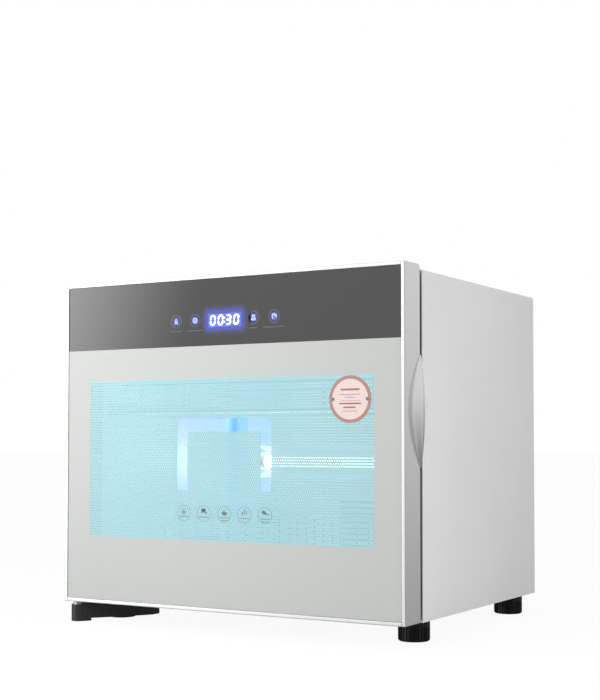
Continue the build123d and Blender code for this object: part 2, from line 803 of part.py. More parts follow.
def lamp_sockets():
    start = tube_length / 2 + 0.2
    return [block((side * start, side * lamp_length / 2), (wall_y - lamp_depth + 4, wall_y - reflector_thick),
                  (lamp_level - socket_height / 2, lamp_level + socket_height / 2)) for side in (-1, 1)]


def uv_tube():
    return rod_x((-tube_length / 2 + tube_cap, tube_length / 2 - tube_cap), tube_y(), lamp_level, tube_radius)


def tube_caps():
    start = tube_length / 2 - tube_cap
    return [rod_x((side * start, side * (tube_length / 2 + 0.2)), tube_y(), lamp_level, tube_radius)
            for side in (-1, 1)]


# --------------------------------------------------------------------------------------- fan heater
def air_grille():
    half = heater_window / 2 + grille_margin
    plate = block((-half, half), (wall_y - grille_thick, wall_y), (fan_level - half, fan_level + half))
    pitch = heater_window / grille_slots
    through = (wall_y - grille_thick - 1, wall_y + 1)
    return plate - [slot_y(0, through, fan_level + pitch * (number - (grille_slots - 1) / 2), heater_window, 4)
                    for number in range(grille_slots)]


def ptc_heater():
    half = heater_size / 2
    window = heater_window / 2
    body = block((-half, half), (liner_back, fan_front), (fan_level - half, fan_level + half))
    body -= block((-window, window), (liner_back - 1, fan_front + 1), (fan_level - window, fan_level + window))
    pitch = heater_window / (heater_fins + 1)
    fins = [block((x - fin_thick / 2, x + fin_thick / 2), (liner_back + 1, fan_front - 1),
                  (fan_level - window - 1, fan_level + window + 1))
            for x in [pitch * (number - (heater_fins - 1) / 2) for number in range(heater_fins)]]
    return (body + fins) - [rod_y(x, (liner_back - 1, fan_front + 1), fan_level + z, fan_screw_radius + screw_gap)
                            for x, z in heater_holes]


def fan_housing():
    half = fan_size / 2
    frame = block((-half, half), (fan_front, fan_rear), (fan_level - half, fan_level + half))
    frame = fillet(frame.edges().filter_by(Axis.Y), 4)
    frame -= rod_y(0, (fan_front - 1, fan_rear + 1), fan_level, fan_bore_radius)
    arms = [Pos(0, 0, fan_level) * Rot(0, 120 * number + 45, 0)
            * block((0, fan_bore_radius + 1), (fan_rear - 3, fan_rear), (-2, 2)) for number in range(3)]
    cup = rod_y(0, (fan_rear - 3, fan_rear), fan_level, stator_radius)
    return frame + arms + cup - [rod_y(x, (fan_front - 1, fan_rear + 1), fan_level + z, fan_screw_radius + screw_gap)
                                 for x, z in heater_holes]


def fan_motor():
    stator = rod_y(0, (fan_front + 9, fan_rear - 3), fan_level, stator_radius)
    return stator + rod_y(0, (fan_front + 3, fan_front + 9.5), fan_level, shaft_radius)


def fan_rotor():
    cup = rod_y(0, (fan_front + 4, fan_rear - 4), fan_level, hub_radius)
    cup -= rod_y(0, (fan_front + 7, fan_rear), fan_level, hub_radius - hub_wall)
    cup -= rod_y(0, (fan_front, fan_rear), fan_level, shaft_radius + running_clearance)
    envelope = (rod_y(0, (fan_front + 3, fan_rear - 4), fan_level, blade_radius)
                - rod_y(0, (fan_front, fan_rear), fan_level, hub_radius - hub_wall / 2))
    blades = []
    for number in range(fan_blades):
        blade = Pos((hub_radius + blade_radius) / 2, 0, 0) * Rot(blade_pitch, 0, 0) * Box(
            blade_radius - hub_radius + 6, 1.2, 24)
        placed = Pos(0, (fan_front + fan_rear) / 2 - 0.5, fan_level) * Rot(0, 360 / fan_blades * number, 0) * blade
        blades.append(placed & envelope)
    return cup + blades


def fan_screws():
    return [rod_y(x, (fan_rear, fan_rear + 2), fan_level + z, 3.6)
            + rod_y(x, (liner_back + 1, fan_rear + 0.5), fan_level + z, fan_screw_radius)
            for x, z in heater_holes]


# ----------------------------------------------------------------------------------------- electrics
def thermal_cutout():
    level = fan_level + fan_size / 4
    reach = 1.5 * cutout_radius
    ears = block((cutout_offset - reach, cutout_offset + reach), (liner_back, liner_back + pan_thick),
                 (level - cutout_radius / 2, level + cutout_radius / 2))
    return ears + rod_y(cutout_offset, (liner_back, liner_back + 6), level, cutout_radius)


def lamp_ballast():
    left = ballast_inset - mouth_half
    body = block((left, left + ballast_length), (liner_back, liner_back + ballast_depth),
                 (lamp_level - ballast_height / 2, lamp_level + ballast_height / 2))
    return fillet(body.edges().filter_by(Axis.X), 2)


def power_board():
    y = liner_back + standoff_height
    return block((power_board_left, power_board_left + power_board_width), (y, y + board_thick),
                 (power_board_level, power_board_level + power_board_height))


def board_standoffs():
    places = [(power_board_left + x, power_board_level + z)
              for x in (standoff_inset, power_board_width - standoff_inset)
              for z in (standoff_inset, power_board_height - standoff_inset)]
    return [rod_y(x, (liner_back, liner_back + standoff_height), z, standoff_radius) for x, z in places]


def board_components():
    """Transformer, relay, capacitors and terminal block, standing on the power board."""
    y = liner_back + standoff_height + board_thick
    x = power_board_left
    z = power_board_level
    cans = [rod_y(x + 62 + 16 * number, (y, y + 18), z + 20, 5) for number in range(3)]
    return [block((x + 14, x + 46), (y, y + 22), (z + 14, z + 42)),
            block((x + 14, x + 34), (y, y + 15), (z + 52, z + 68)),
            block((x + 56, x + 108), (y, y + 12), (z + 62, z + 74))] + cans


def reed_switch():
    top = shell_top - shell_thick
    return block((magnet_offset - magnet_length / 2, magnet_offset + magnet_length / 2),
                 (liner_front, liner_front + magnet_thick), (mouth_top + liner_flange + 0.5, top))


def cord_gland():
    rear = rear_panel_y + rear_thick
    body = rod_y(gland_offset, (rear - gland_length, rear + gland_rim), gland_level, gland_body)
    flange = rod_y(gland_offset, (rear, rear + gland_rim), gland_level, gland_flange)
    return body + flange - rod_y(gland_offset, (rear - gland_length - 1, rear + gland_rim + 1),
                                 gland_level, gland_bore)


def gland_nut():
    front = rear_panel_y - gland_nut_thick
    ring_nut = rod_y(gland_offset, (front, rear_panel_y), gland_level, gland_flange)
    return ring_nut - rod_y(gland_offset, (front - 1, rear_panel_y + 1), gland_level, gland_body)


# ------------------------------------------------------------------------------------------ assembly
def pieces():
    """Every node by name: one solid, or a list of like solids."""
    makers = [door_rail_left, door_rail_right, door_rail_top, door_rail_bottom, hinge_block_upper,
              hinge_block_lower, corner_blocks, hinge_bush_upper, hinge_bush_lower, front_glass,
              inner_glass, inner_panel, door_gasket, handle_grip, control_housing, control_board,
              display_module, touch_pads, door_magnet, outer_shell, base_pan, front_frame, rear_panel,
              rear_screws, liner, liner_supports, upper_hinge_bracket, upper_hinge_pin,
              lower_hinge_bracket, lower_hinge_pin, hinge_screws, foot_fasteners, upper_rack, lower_rack,
              drip_tray, lamp_reflector, lamp_sockets, uv_tube, tube_caps, air_grille, ptc_heater,
              fan_housing, fan_motor, fan_rotor, fan_screws, thermal_cutout, lamp_ballast, power_board,
              board_standoffs, board_components, reed_switch, cord_gland, gland_nut]
    made = {maker.__name__: maker() for maker in makers}
    moulded = foot()
    for corner, (x, y) in feet_places.items():
        made["foot_" + corner] = Pos(x, y, 0) * moulded
    for name, level in (("upper", upper_level), ("lower", lower_level)):
        made[name + "_runners"] = [runner(side, level) for side in (-1, 1)]
    return made


os.makedirs("parts", exist_ok=True)
grip_reach = handle_grip().bounding_box().max.X
PLACE = Pos((half_width - grip_reach) / 2, -rear_y / 2, 0)
for name, made in pieces().items():
    solids = made if isinstance(made, list) else [made]
    placed = [PLACE * solid for item in solids for solid in item.solids()]
    whole = placed[0] if len(placed) == 1 else Compound(children=placed)
    export_step(whole, f"parts/{name}.step")
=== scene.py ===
"""Looks of a countertop dish sterilizer cabinet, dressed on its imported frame.

Lengths are in millimetres, measured from the middle of the door (x), its front face (y) and the floor (z),
and at() turns them into the frame's metres. Colours are written as a screen shows them, 0 to 255.
"""

import json
import math

import bmesh
import bpy
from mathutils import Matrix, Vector
from mathutils.geometry import tessellate_polygon

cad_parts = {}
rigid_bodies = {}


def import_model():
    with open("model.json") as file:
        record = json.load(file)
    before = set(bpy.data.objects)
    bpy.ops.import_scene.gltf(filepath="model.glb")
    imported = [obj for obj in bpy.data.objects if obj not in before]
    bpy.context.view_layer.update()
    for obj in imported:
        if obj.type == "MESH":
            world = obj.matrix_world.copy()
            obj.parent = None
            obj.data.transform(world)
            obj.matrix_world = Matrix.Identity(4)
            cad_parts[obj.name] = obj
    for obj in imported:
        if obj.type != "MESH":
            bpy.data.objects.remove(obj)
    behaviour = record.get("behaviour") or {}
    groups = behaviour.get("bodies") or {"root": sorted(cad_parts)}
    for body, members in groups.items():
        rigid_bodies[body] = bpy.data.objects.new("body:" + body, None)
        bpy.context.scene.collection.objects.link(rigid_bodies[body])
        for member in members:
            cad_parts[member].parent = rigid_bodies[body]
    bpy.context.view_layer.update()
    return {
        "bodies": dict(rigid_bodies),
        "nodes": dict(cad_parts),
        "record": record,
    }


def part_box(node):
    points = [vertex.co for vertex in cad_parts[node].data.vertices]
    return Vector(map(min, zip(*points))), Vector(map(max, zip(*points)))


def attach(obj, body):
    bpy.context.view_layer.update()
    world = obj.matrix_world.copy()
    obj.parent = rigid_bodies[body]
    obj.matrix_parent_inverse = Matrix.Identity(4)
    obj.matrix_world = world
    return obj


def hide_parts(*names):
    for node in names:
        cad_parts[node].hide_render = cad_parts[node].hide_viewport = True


MM = 0.001
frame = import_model()

# The door, as the frame has it.
GLASS_LOW, GLASS_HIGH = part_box("front_glass")
DOOR_MIDDLE = (GLASS_LOW.x + GLASS_HIGH.x) / 2
DOOR_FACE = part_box("door_rail_right")[0].y
GLASS_WIDTH = (GLASS_HIGH.x - GLASS_LOW.x) / MM
GLASS_FOOT = GLASS_LOW.z / MM
GLASS_TOP = GLASS_HIGH.z / MM
GLASS_BACK = (GLASS_HIGH.y - DOOR_FACE) / MM

# Depths of the front glass and what is printed on it.
GLASS_FRONT = 0.8
PRINT_FRONT = 0.76
LABEL_FRONT = 0.68
FILM_BACK = 1.2
PANE_GAP = 0.05

# What the photograph shows on the front glass.
BAND_FOOT = 321.3
WINDOW_LEFT, WINDOW_RIGHT = -188.0, 189.3
WINDOW_FOOT, WINDOW_TOP = 103.4, 284.6
ARCH_OUTER = (-62.1, 63.4, 240.5, 8.5)
ARCH_INNER = (-47.8, 49.3, 225.2, 4.0)
ARCH_FOOT = 159.6
DOT_PITCH_ACROSS, DOT_PITCH_UP, DOT_RADIUS = 2.9, 3.05, 0.62
DISPLAY_LEFT, DISPLAY_RIGHT = -19.8, 23.8
DISPLAY_FOOT, DISPLAY_TOP = 342.0, 356.8
DISPLAY_CORNER, DISPLAY_REACH = 0.8, 13.0
KEY_PLACES = (-63.7, -37.7, 40.4, 67.1)
KEY_LEVEL, KEY_RING = 350.3, 7.3
KEY_ROWS, KEY_ROW_DROP = (16, 21, 9, 27), 11.4
KEY_HALO, KEY_LINE = 7.0, 0.35
BADGE_PLACES = (-52.4, -25.3, 2.3, 28.7, 55.3)
BADGE_LEVEL, BADGE_RING = 133.6, 9.1
BADGE_ROWS, BADGE_LINE = (1, 1, 2, 1, 2), 0.42
LABEL_X, LABEL_Z, LABEL_RADIUS, LABEL_RIM = 160.8, 258.6, 25.0, 3.5
LABEL_LINE = 0.35

# Half the chamber's width in metres, and the lamp's light painted on its walls as a glow, with painted
# shade in the back corners, in linear values.
CHAMBER_HALF = 0.205
PAINTED_LIGHT_BACK_FAR, PAINTED_LIGHT_BACK_NEAR = (0.06, 0.42, 0.82, 1), (0.42, 0.65, 0.84, 1)
PAINTED_LIGHT_BACK_MIDDLE = (0.74, 0.86, 0.92, 1)
PAINTED_CORNER_SHADE_OUTER, PAINTED_CORNER_SHADE = (0.07, 0.48, 1.0, 1), (0.0, 0.44, 1.0, 1)
PAINTED_LIGHT_SIDE_WALL = (0.47, 0.48, 0.80, 1)
PAINTED_WALL_GLOW = 0.8
CHAMBER_LIGHT_COLOUR, CHAMBER_LIGHT_ENERGY = (0.42, 0.78, 1.0), 2.4

# Soft patches of the studio's light: azimuth, elevation, full within, gone beyond (all in degrees),
# strength, and how many times as high as wide.
LOBES = (
    (-53, 14, 9.5, 19, 5.0, 1.6),
    (-26, 0, 8.0, 28, 0.95, 1.3),
    (84, 6, 12.0, 40, 0.5, 1.0),
    (156, 20, 6.0, 40, 0.65, 1.0),
    (0, 72, 5.0, 38, 1.0, 1.0),
)

# Soft lamps, in metres and watts: name, place, aim, size and energy.
SOFT_LIGHTS = (
    ("key_light", (-0.22, -0.85, 0.45), (-0.08, -0.18, 0.25), 0.4, 5.6),
    ("side_light", (0.78, -0.34, 0.34), (0.22, -0.10, 0.20), 0.4, 1.3),
)
FLOOR_HALF, FLOOR_WHITENESS = 20.0, 0.94


def at(x, y, z):
    """A place in millimetres from the door's middle, its face and the floor, as a point of the frame."""
    return Vector((DOOR_MIDDLE + x * MM, DOOR_FACE + y * MM, z * MM))


def shown(red, green, blue):
    """A colour as a screen shows it, in the linear values that shaders take."""
    linear = []
    for part in (red, green, blue):
        part /= 255
        linear.append(part / 12.92 if part <= 0.04045 else ((part + 0.055) / 1.055) ** 2.4)
    return (*linear, 1.0)


def toned(colour, factor, lift=0.0):
    """The colour made darker or lighter by factor, with lift added."""
    return tuple(min(1.0, part * factor + lift) for part in colour[:3]) + (1.0,)


# ---------------------------------------------------------------- shader nodes


def add(tree, kind, inputs=None, **settings):
    """Adds a node. Each input is a value or the socket that it is linked from."""
    made = tree.nodes.new(kind)
    for name, value in settings.items():
        setattr(made, name, value)
    for key, value in (inputs or {}).items():
        if isinstance(value, bpy.types.NodeSocket):
            tree.links.new(value, made.inputs[key])
        else:
            made.inputs[key].default_value = value
    return made


def sum_of(tree, operation, first, second=0.0, third=0.0):
    """The result of a Math node."""
    made = add(tree, "ShaderNodeMath", {0: first, 1: second, 2: third}, operation=operation)
    return made.outputs[0]


def remap(tree, value, start, end, low, high, smooth=False):
    """value from start..end taken to low..high, and held there outside."""
    kind = "SMOOTHSTEP" if smooth else "LINEAR"
    inputs = {"Value": value, "From Min": start, "From Max": end, "To Min": low, "To Max": high}
    return add(tree, "ShaderNodeMapRange", inputs, interpolation_type=kind).outputs["Result"]


def shade(tree, factor, first, second):
    """A colour between first and second."""
    made = add(tree, "ShaderNodeMix", {"Factor": factor}, data_type="RGBA")
    for socket, value in ((made.inputs[6], first), (made.inputs[7], second)):
        if isinstance(value, bpy.types.NodeSocket):
            tree.links.new(value, socket)
        else:
            socket.default_value = value
    return made.outputs[2]


def place(tree, scale=(1, 1, 1), shift=(0, 0, 0)):
    """How far a point of the object lies from shift, in metres times scale."""
    coordinates = add(tree, "ShaderNodeTexCoord").outputs["Object"]
    moved = add(tree, "ShaderNodeVectorMath", {0: coordinates, 1: shift}, operation="SUBTRACT")
    grown = add(tree, "ShaderNodeVectorMath", {0: moved.outputs[0], 1: scale}, operation="MULTIPLY")
    return grown.outputs[0]


def noise(tree, where, scale, detail=2.0, roughness=0.5):
    """Cloudy noise of 0 to 1."""
    inputs = {"Vector": where, "Scale": scale, "Detail": detail, "Roughness": roughness}
    return add(tree, "ShaderNodeTexNoise", inputs).outputs["Fac"]


def bump(tree, height, depth, strength=1.0):
    """A normal from a height of 0 to 1, depth millimetres deep."""
    inputs = {"Height": height, "Distance": depth * MM, "Strength": strength}
    return add(tree, "ShaderNodeBump", inputs).outputs["Normal"]


def finish(name, **sockets):
    """A new material with one Principled shader. Its sockets are set by name, with _ for a space."""
    material = bpy.data.materials.new(name)
    material.use_nodes = True
    shader = material.node_tree.nodes["Principled BSDF"]
    for key, value in sockets.items():
        shader.inputs[key.replace("_", " ")].default_value = value
    return material, material.node_tree, shader


def wire(tree, socket, shader, name):
    """Links a socket to a node's named input."""
    tree.links.new(socket, shader.inputs[name])


def from_middle(tree, node):
    """How far along x a point lies from a CAD node's middle, and half the node's length, in metres."""
    low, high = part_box(node)
    middle, half = (low.x + high.x) / 2, (high.x - low.x) / 2
    along = add(tree, "ShaderNodeSeparateXYZ", {0: place(tree, shift=(middle, 0, 0))}).outputs["X"]
    return sum_of(tree, "ABSOLUTE", along), half


# ---------------------------------------------------------------- finishes


def brushed_metal(name, colour, roughness, grain_axis, depth=0.002, edge=0.4):
    """Metal brushed along one axis: long fine scratches, and edges eased over edge millimetres."""
    material, tree, shader = finish(name, Metallic=1.0)
    stretch = [4200.0, 4200.0, 4200.0]
    stretch[grain_axis] = 14.0
    scratches = noise(tree, place(tree, stretch), 1.0, 4.0, 0.62)
    broad = noise(tree, place(tree, [s / 9 for s in stretch]), 1.0, 2.0)
    dark = toned(colour, 0.93)
    wire(tree, shade(tree, remap(tree, scratches, 0.3, 0.7, 0, 1), dark, colour), shader, "Base Color")
    spread = sum_of(tree, "MULTIPLY_ADD", scratches, 0.16, remap(tree, broad, 0.3, 0.7, -0.05, 0.05))
    wire(tree, sum_of(tree, "ADD", spread, roughness - 0.08), shader, "Roughness")
    eased = add(tree, "ShaderNodeBevel", {"Radius": edge * MM}, samples=6).outputs["Normal"]
    inputs = {"Height": scratches, "Distance": depth * MM, "Normal": eased}
    wire(tree, add(tree, "ShaderNodeBump", inputs).outputs["Normal"], shader, "Normal")
    return material


def chrome(name, colour, roughness, painted_lamp_light=0.0):
    """Bright plating with faint wipe marks, and the lamp's light painted on as a glow of the last
    argument's strength, where it is above 0.
    """
    material, tree, shader = finish(name, Metallic=1.0, Base_Color=colour, Emission_Strength=painted_lamp_light)
    # The colour of the painted lamp light.
    shader.inputs["Emission Color"].default_value = (0.42, 0.72, 0.92, 1)
    wipes = noise(tree, place(tree, (60, 60, 25)), 1.0, 5.0, 0.6)
    wire(tree, remap(tree, wipes, 0.35, 0.75, roughness, roughness + 0.12), shader, "Roughness")
    wire(tree, bump(tree, noise(tree, place(tree), 900, 1.0), 0.002), shader, "Normal")
    return material


def powder_coat(name, colour):
    """Satin paint on sheet: fine orange peel and a slight unevenness of shade."""
    material, tree, shader = finish(name, Coat_Weight=0.15, Coat_Roughness=0.35)
    peel = noise(tree, place(tree), 1500, 3.0, 0.55)
    cloud = noise(tree, place(tree), 7, 3.0)
    darker = toned(colour, 0.955)
    wire(tree, shade(tree, remap(tree, cloud, 0.3, 0.7, 0, 1), darker, colour), shader, "Base Color")
    wire(tree, remap(tree, peel, 0.3, 0.7, 0.38, 0.52), shader, "Roughness")
    wire(tree, bump(tree, peel, 0.012), shader, "Normal")
    return material


def moulded(name, colour, roughness=0.45, grain=2200):
    """Moulded plastic with a fine spark-eroded grain and rubbed high spots."""
    material, tree, shader = finish(name)
    skin = noise(tree, place(tree), grain, 2.0, 0.6)
    rub = noise(tree, place(tree), 45, 4.0)
    lighter = toned(colour, 1.4, 0.002)
    wire(tree, shade(tree, remap(tree, rub, 0.5, 0.8, 0, 1), colour, lighter), shader, "Base Color")
    wire(tree, remap(tree, rub, 0.3, 0.7, roughness - 0.08, roughness + 0.1), shader, "Roughness")
    wire(tree, bump(tree, skin, 0.02), shader, "Normal")
    shader.inputs["Specular IOR Level"].default_value = 0.3
    return material


def moulded_painted_glow(name, colour, light, strength):
    """Moulded plastic close to the lamp, with its light painted on as a glow."""
    material, tree, shader = finish(name, Roughness=0.4, Emission_Color=light, Emission_Strength=strength)
    skin = noise(tree, place(tree), 1800, 2.0, 0.6)
    dark = toned(colour, 0.9)
    wire(tree, shade(tree, remap(tree, skin, 0.35, 0.65, 0, 1), dark, colour), shader, "Base Color")
    wire(tree, bump(tree, skin, 0.02), shader, "Normal")
    return material


def rubber(name, colour):
    """Soft extruded seal: matt, with dust and faint drawn lines."""
    material, tree, shader = finish(name, Sheen_Weight=0.15, Sheen_Roughness=0.6)
    dust = noise(tree, place(tree), 160, 5.0, 0.65)
    dusty = toned(colour, 1.35)
    wire(tree, shade(tree, remap(tree, dust, 0.45, 0.75, 0, 1), colour, dusty), shader, "Base Color")
    wire(tree, remap(tree, dust, 0.3, 0.7, 0.6, 0.8), shader, "Roughness")
    wire(tree, bump(tree, dust, 0.03), shader, "Normal")
    return material


def zinc(name, colour):
    """Zinc-plated steel: spangled patches of shade and roughness."""
    material, tree, shader = finish(name, Metallic=1.0)
    cells = add(tree, "ShaderNodeTexVoronoi", {"Vector": place(tree), "Scale": 160.0})
    patch = add(tree, "ShaderNodeSeparateColor", {"Color": cells.outputs["Color"]}).outputs["Red"]
    dark = toned(colour, 0.8)
    wire(tree, shade(tree, patch, dark, colour), shader, "Base Color")
    wire(tree, remap(tree, patch, 0, 1, 0.3, 0.48), shader, "Roughness")
    wire(tree, bump(tree, noise(tree, place(tree), 900), 0.004), shader, "Normal")
    return material


def chamber_steel_painted_glow(name):
    """Brushed steel with the lamp's light painted on as a glow: pale on the side walls, bluer on the back,
    and deeper blue in the corners as painted shade.
    """
    material, tree, shader = finish(name, Metallic=1.0)
    scratches = noise(tree, place(tree, (14, 14, 2600)), 1.0, 4.0, 0.62)
    streak = remap(tree, scratches, 0.3, 0.7, 0, 1)
    steel = shade(tree, streak, shown(200, 206, 212), shown(222, 226, 230))
    wire(tree, steel, shader, "Base Color")
    wire(tree, remap(tree, scratches, 0.3, 0.7, 0.28, 0.42), shader, "Roughness")
    wire(tree, bump(tree, scratches, 0.004), shader, "Normal")
    low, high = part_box("uv_tube")
    lamp = ((low.x + high.x) / 2, 0, (low.z + high.z) / 2)
    facing = add(tree, "ShaderNodeNewGeometry").outputs["Normal"]
    turn = sum_of(tree, "ABSOLUTE", add(tree, "ShaderNodeSeparateXYZ", {0: facing}).outputs["X"])
    offset = add(tree, "ShaderNodeSeparateXYZ", {0: place(tree, shift=lamp)})
    out = sum_of(tree, "ABSOLUTE", offset.outputs["X"])
    rise = sum_of(tree, "ABSOLUTE", offset.outputs["Z"])
    # Painted lamp light: whiter on the back wall near the lamp, bluer far from it.
    near = remap(tree, rise, 0.02, 0.11, 1, 0, smooth=True)
    back = shade(tree, near, PAINTED_LIGHT_BACK_FAR, PAINTED_LIGHT_BACK_NEAR)
    back = shade(tree, remap(tree, out, 0.05, 0.14, 1, 0, smooth=True), back, PAINTED_LIGHT_BACK_MIDDLE)
    # Painted shade: deeper blue bands in the back corners.
    blue = remap(tree, out, CHAMBER_HALF - 0.030, CHAMBER_HALF - 0.026, 0, 1)
    back = shade(tree, blue, back, PAINTED_CORNER_SHADE_OUTER)
    corner = remap(tree, out, CHAMBER_HALF - 0.009, CHAMBER_HALF - 0.007, 0, 1)
    back = shade(tree, corner, back, PAINTED_CORNER_SHADE)
    # Painted lamp light: pale on the side walls.
    painted_lamp_light = shade(tree, remap(tree, turn, 0.9, 0.97, 0, 1), back, PAINTED_LIGHT_SIDE_WALL)
    # The painted lamp light is only on faces that look towards the middle of the chamber.
    centre = sum(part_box("liner"), Vector()) / 2
    outward = {0: facing, 1: place(tree, shift=centre)}
    away = add(tree, "ShaderNodeVectorMath", outward, operation="DOT_PRODUCT").outputs["Value"]
    inside = remap(tree, away, -0.002, 0, 1, 0)
    wire(tree, shade(tree, inside, (0, 0, 0, 1), painted_lamp_light), shader, "Emission Color")
    shader.inputs["Emission Strength"].default_value = PAINTED_WALL_GLOW
    return material


def reflector_painted_glow(name, colour):
    """Polished reflector sheet with faint rolling lines, and the lamp's light painted on as a glow,
    brighter towards its ends.
    """
    material, tree, shader = finish(name, Metallic=1.0, Base_Color=colour)
    lines = noise(tree, place(tree, (20, 900, 900)), 1.0, 3.0)
    wire(tree, remap(tree, lines, 0.3, 0.7, 0.38, 0.5), shader, "Roughness")
    wire(tree, bump(tree, lines, 0.003), shader, "Normal")
    out, half = from_middle(tree, "lamp_reflector")
    end = remap(tree, out, half - 0.03, half - 0.012, 0, 1, smooth=True)
    # Painted lamp light, brighter towards the reflector's ends.
    wire(tree, shade(tree, end, (0.30, 0.40, 0.46, 1), (0.72, 0.86, 0.92, 1)), shader, "Emission Color")
    shader.inputs["Emission Strength"].default_value = 0.9
    return material


def circuit(name):
    """A circuit board: green mask over copper runs on a square grid."""
    material, tree, shader = finish(name, Roughness=0.35, Coat_Weight=0.3, Coat_Roughness=0.15)
    inputs = {"Vector": place(tree), "Scale": 130.0, "Randomness": 0.35}
    cells = add(tree, "ShaderNodeTexVoronoi", inputs, distance="MANHATTAN", feature="DISTANCE_TO_EDGE")
    runs = remap(tree, cells.outputs["Distance"], 0.03, 0.06, 1, 0)
    wire(tree, shade(tree, runs, shown(22, 78, 48), shown(46, 118, 70)), shader, "Base Color")
    wire(tree, bump(tree, runs, 0.03), shader, "Normal")
    return material


def lit_tube(name):
    """The lamp's glass, lit: white in the middle and bluer towards its ends."""
    material, tree, shader = finish(name, Roughness=0.08, Base_Color=shown(215, 235, 245))
    out, half = from_middle(tree, "uv_tube")
    end = remap(tree, out, half * 0.75, half, 0, 1, smooth=True)
    wire(tree, shade(tree, end, (0.92, 0.99, 1.0, 1), (0.55, 0.80, 1.0, 1)), shader, "Emission Color")
    shader.inputs["Emission Strength"].default_value = 3.0
    return material


def back_print(name, colour, flake, gloss, index=1.5, roughness=0.42):
    """Paint behind glass: fine metal flake under a face that shines by gloss and its index."""
    material, tree, shader = finish(name, Roughness=roughness, Coat_Weight=gloss, Coat_Roughness=0.03)
    shader.inputs["Coat IOR"].default_value = index
    specks = noise(tree, place(tree), 2600, 2.0, 0.7)
    cloud = noise(tree, place(tree), 9, 3.0)
    darker = toned(colour, 1 - flake)
    mixed = shade(tree, remap(tree, specks, 0.35, 0.65, 0, 1), darker, colour)
    veil = toned(colour, 1 - flake / 2)
    wire(tree, shade(tree, remap(tree, cloud, 0.35, 0.65, 0, 0.6), mixed, veil), shader, "Base Color")
    shader.inputs["Specular IOR Level"].default_value = 0.1
    return material


def clear_glass(name, tint, gloss=0.02):
    """Sheet glass: clear to what is behind it, with a gloss that grows towards the grazing angle."""
    material, tree, shader = finish(name)
    tree.nodes.remove(shader)
    out = tree.nodes["Material Output"]
    through = add(tree, "ShaderNodeBsdfTransparent", {"Color": tint})
    smears = noise(tree, place(tree, (14, 14, 7)), 1.0, 4.0)
    rough = remap(tree, smears, 0.4, 0.8, gloss, gloss + 0.05)
    face = add(tree, "ShaderNodeBsdfGlossy", {"Roughness": rough})
    facing = add(tree, "ShaderNodeFresnel", {"IOR": 1.45})
    inputs = {0: facing.outputs[0], 1: through.outputs[0], 2: face.outputs[0]}
    both = add(tree, "ShaderNodeMixShader", inputs)
    wire(tree, both.outputs[0], out, "Surface")
    return material


def dotted_film_painted_light(name, colour):
    """The window's film, its cyan standing in for the chamber's light seen through it: clear round dots in
    staggered rows, and a faint painted glow in the rest.
    """
    material, tree, shader = finish(name, Roughness=0.5, Coat_Weight=0.5, Coat_Roughness=0.03)
    out = tree.nodes["Material Output"]
    split = add(tree, "ShaderNodeSeparateXYZ", {0: place(tree, (1 / MM,) * 3, at(0, 0, 0))})
    up = sum_of(tree, "DIVIDE", split.outputs["Z"], DOT_PITCH_UP)
    row = sum_of(tree, "FLOOR", up)
    stagger = sum_of(tree, "MULTIPLY", sum_of(tree, "MODULO", row, 2.0), 0.5)
    across = sum_of(tree, "ADD", sum_of(tree, "DIVIDE", split.outputs["X"], DOT_PITCH_ACROSS), stagger)
    reach = []
    for cell, pitch in ((across, DOT_PITCH_ACROSS), (up, DOT_PITCH_UP)):
        offset = sum_of(tree, "SUBTRACT", sum_of(tree, "FRACT", cell), 0.5)
        reach.append(sum_of(tree, "POWER", sum_of(tree, "MULTIPLY", offset, pitch), 2.0))
    distance = sum_of(tree, "SQRT", sum_of(tree, "ADD", *reach))
    dot = remap(tree, distance, DOT_RADIUS * 0.85, DOT_RADIUS * 1.1, 1, 0)
    cloud = noise(tree, place(tree), 11, 3.0)
    darker = toned(colour, 0.96)
    wire(tree, shade(tree, remap(tree, cloud, 0.3, 0.7, 0, 1), darker, colour), shader, "Base Color")
    # Painted glow: the chamber's light seen through the film.
    shader.inputs["Emission Color"].default_value = shown(170, 225, 240)
    shader.inputs["Emission Strength"].default_value = 0.05
    hole = add(tree, "ShaderNodeBsdfTransparent")
    both = add(tree, "ShaderNodeMixShader", {0: dot, 1: shader.outputs[0], 2: hole.outputs[0]})
    wire(tree, both.outputs[0], out, "Surface")
    return material


def glow(name, colour, strength, centre, half, reach):
    """Light that spills round something lit: full within half of centre, gone reach millimetres off."""
    material, tree, shader = finish(name)
    tree.nodes.remove(shader)
    out = tree.nodes["Material Output"]
    offset = place(tree, (1 / MM, 0, 1 / MM), at(centre[0], 0, centre[1]))
    size = add(tree, "ShaderNodeVectorMath", {0: offset}, operation="ABSOLUTE")
    inputs = {0: size.outputs[0], 1: (half[0], 0, half[1])}
    beyond = add(tree, "ShaderNodeVectorMath", inputs, operation="SUBTRACT")
    clear = add(tree, "ShaderNodeVectorMath", {0: beyond.outputs[0], 1: (0, 0, 0)}, operation="MAXIMUM")
    distance = add(tree, "ShaderNodeVectorMath", {0: clear.outputs[0]}, operation="LENGTH")
    near = remap(tree, distance.outputs["Value"], 0, reach, 1, 0, smooth=True)
    fade = sum_of(tree, "MULTIPLY", sum_of(tree, "POWER", near, 1.4), strength)
    light = add(tree, "ShaderNodeEmission", {"Color": colour, "Strength": fade})
    through = add(tree, "ShaderNodeBsdfTransparent")
    both = add(tree, "ShaderNodeAddShader", {0: through.outputs[0], 1: light.outputs[0]})
    wire(tree, both.outputs[0], out, "Surface")
    return material


